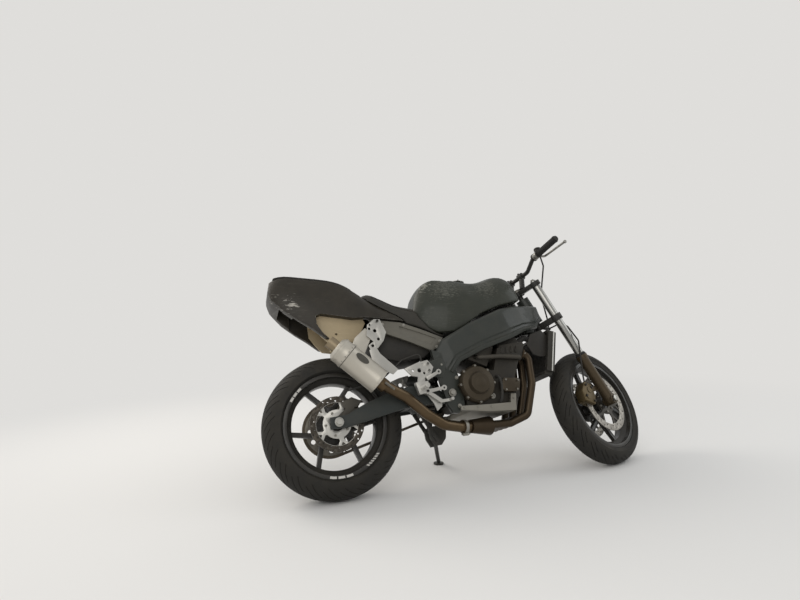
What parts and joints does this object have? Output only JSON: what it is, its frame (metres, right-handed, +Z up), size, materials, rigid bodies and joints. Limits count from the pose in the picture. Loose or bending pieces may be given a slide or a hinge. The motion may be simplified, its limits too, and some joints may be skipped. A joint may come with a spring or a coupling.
{
  "type": "sport motorcycle",
  "caption": "Naked sport motorcycle with a twin-spar frame, open engine, short side silencer and rounded tail, parked leaning on its side stand with the bars turned to the left",
  "frame": {"origin": "middle of the box around the parked motorcycle, at floor level", "axes": "+X forward along the motorcycle, +Y to its left, the side it leans to, +Z up"},
  "size_m": [1.9765, 0.7726, 1.1565],
  "materials": {
    "frame_paint": "satin dark green grey, worn",
    "subframe_alloy": "dull grey casting",
    "engine_alloy": "dark, dusty",
    "pan_alloy": "silver casting, dusty",
    "cover_bronze": "bronze brown, worn",
    "chain_steel": "oily steel",
    "radiator_black": "matt black",
    "hose_rubber": "matt",
    "black_plastic": "matt, dusty",
    "header_steel": "heat-coloured steel",
    "muffler_alloy": "brushed, dusty",
    "bright_plate": "bright plate",
    "tank_paint": "matt dark green grey, worn to metal",
    "seat_black": "matt black cover",
    "tail_plastic": "scuffed dark grey",
    "pad_foam": "matt",
    "cream_panel": "cream",
    "bright_steel": "bright steel",
    "caliper_dark": "dark",
    "shock_steel": "dark spring",
    "dark_steel": "black steel",
    "wheel_dark": "dark, dusty",
    "tyre": "worn rubber",
    "disc_steel": "ground steel",
    "sprocket_steel": "oily steel",
    "clamp_black": "satin black",
    "fork_chrome": "hard chrome",
    "slider_dark": "dark bronze",
    "caliper_bronze": "dark gold",
    "bar_steel": "satin black",
    "grip_rubber": "matt",
    "lever_alloy": "satin"
  },
  "bodies": {
    "root": {"frame": "frame_paint", "subframe": "subframe_alloy", "engine_block": "engine_alloy", "oil_pan": "pan_alloy", "engine_covers": "cover_bronze", "carburettors": "engine_alloy", "chain": "chain_steel", "radiator": "radiator_black", "radiator_hose": "hose_rubber", "air_box": "black_plastic", "exhaust_headers": "header_steel", "mid_pipe": "header_steel", "muffler": "muffler_alloy", "muffler_bracket": "bright_plate", "tank": "tank_paint", "seat": "seat_black", "tail_cowl": "tail_plastic", "tail_pad": "pad_foam", "undertail": "cream_panel", "battery_box": "black_plastic", "swingarm": "frame_paint", "rear_axle": "bright_steel", "rear_caliper": "caliper_dark", "rear_brake_hose": "hose_rubber", "rear_shock": "shock_steel", "linkage": "dark_steel", "footrests": "bright_plate"},
    "rear_wheel_body": {"rear_wheel": "wheel_dark", "rear_tyre": "tyre", "rear_disc": "disc_steel", "rear_sprocket": "sprocket_steel"},
    "steering_body": {"lower_clamp": "clamp_black", "upper_clamp": "clamp_black", "fork_tubes": "fork_chrome", "fork_sliders": "slider_dark", "front_axle": "bright_steel", "front_calipers": "caliper_bronze", "handlebar": "bar_steel", "grips": "grip_rubber", "hand_levers": "lever_alloy", "brake_hoses": "hose_rubber"},
    "front_wheel_body": {"front_wheel": "wheel_dark", "front_tyre": "tyre", "front_discs": "disc_steel"},
    "side_stand_body": {"side_stand": "dark_steel"}
  },
  "joints": [
    {"name": "steering", "type": "hinge", "parent": "root", "child": "steering_body", "pos_m": [0.48245, -0.04406, 0.67707], "axis": [-0.4046, 0.3037, 0.8626], "range_deg": [-44, 0]},
    {"name": "front_wheel_spin", "type": "hinge", "parent": "steering_body", "child": "front_wheel_body", "pos_m": [0.70426, -0.17254, 0.27349], "axis": [-0.3445, 0.8231, -0.4514], "continuous": true},
    {"name": "rear_wheel_spin", "type": "hinge", "parent": "root", "child": "rear_wheel_body", "pos_m": [-0.67332, -0.17891, 0.30235], "axis": [-0.0021, 0.9429, -0.333], "continuous": true},
    {"name": "side_stand_swing", "type": "hinge", "parent": "root", "child": "side_stand_body", "pos_m": [-0.1592, -0.09152, 0.16224], "axis": [0.211, 0.5629, 0.7991], "range_deg": [0, 100]}
  ]
}
